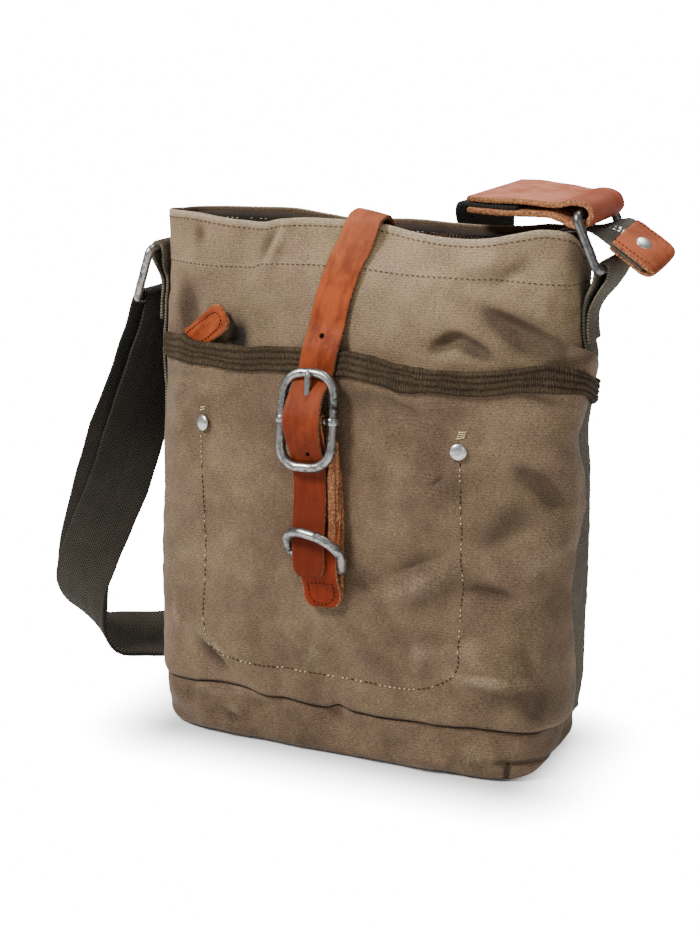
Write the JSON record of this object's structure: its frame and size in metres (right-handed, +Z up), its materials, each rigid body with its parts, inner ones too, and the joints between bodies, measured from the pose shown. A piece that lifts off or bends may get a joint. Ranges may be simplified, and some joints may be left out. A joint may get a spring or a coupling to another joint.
{
  "type": "canvas shoulder bag",
  "caption": "Upright canvas shoulder bag with an open mouth, a full-width front slip pocket, a leather buckle strap over the front and a folded webbing shoulder strap held by side rings.",
  "frame": {"origin": "centre of the flat underside, on the surface the bag stands on", "axes": "+X to the right seen from the front, +Y to the back, +Z up"},
  "size_m": [0.4017, 0.1699, 0.3228],
  "materials": {
    "canvas": "waxed olive-brown canvas",
    "facing": "dark inner facing",
    "binding": "stitched dark olive binding",
    "side_webbing": "fuzzy grey-olive cotton webbing",
    "strap_webbing": "heavy dark olive cotton webbing",
    "zip_tape": "grey-olive woven tape",
    "leather": "orange-tan leather with raw edges",
    "metal": "antique satin nickel"
  },
  "bodies": {
    "root": {"body_panel": "canvas", "rim_facing": "facing", "base_panel": "canvas", "pocket_panel": "canvas", "pocket_band": "binding", "pocket_pull": "leather", "rivet_left": "metal", "rivet_right": "metal", "buckle_frame": "metal", "buckle_bar": "metal", "buckle_prong": "metal", "closure_strap": "leather", "anchor_strap": "leather", "keeper_ring": "metal", "ring_left": "metal", "ring_right": "metal", "side_webbing_left": "side_webbing", "side_webbing_right": "side_webbing", "strap_end": "leather", "shoulder_strap": "strap_webbing", "zip_tape_front": "zip_tape", "zip_tape_back": "zip_tape", "zip_end_tab": "leather", "zip_end_rivet": "metal"}
  },
  "joints": []
}
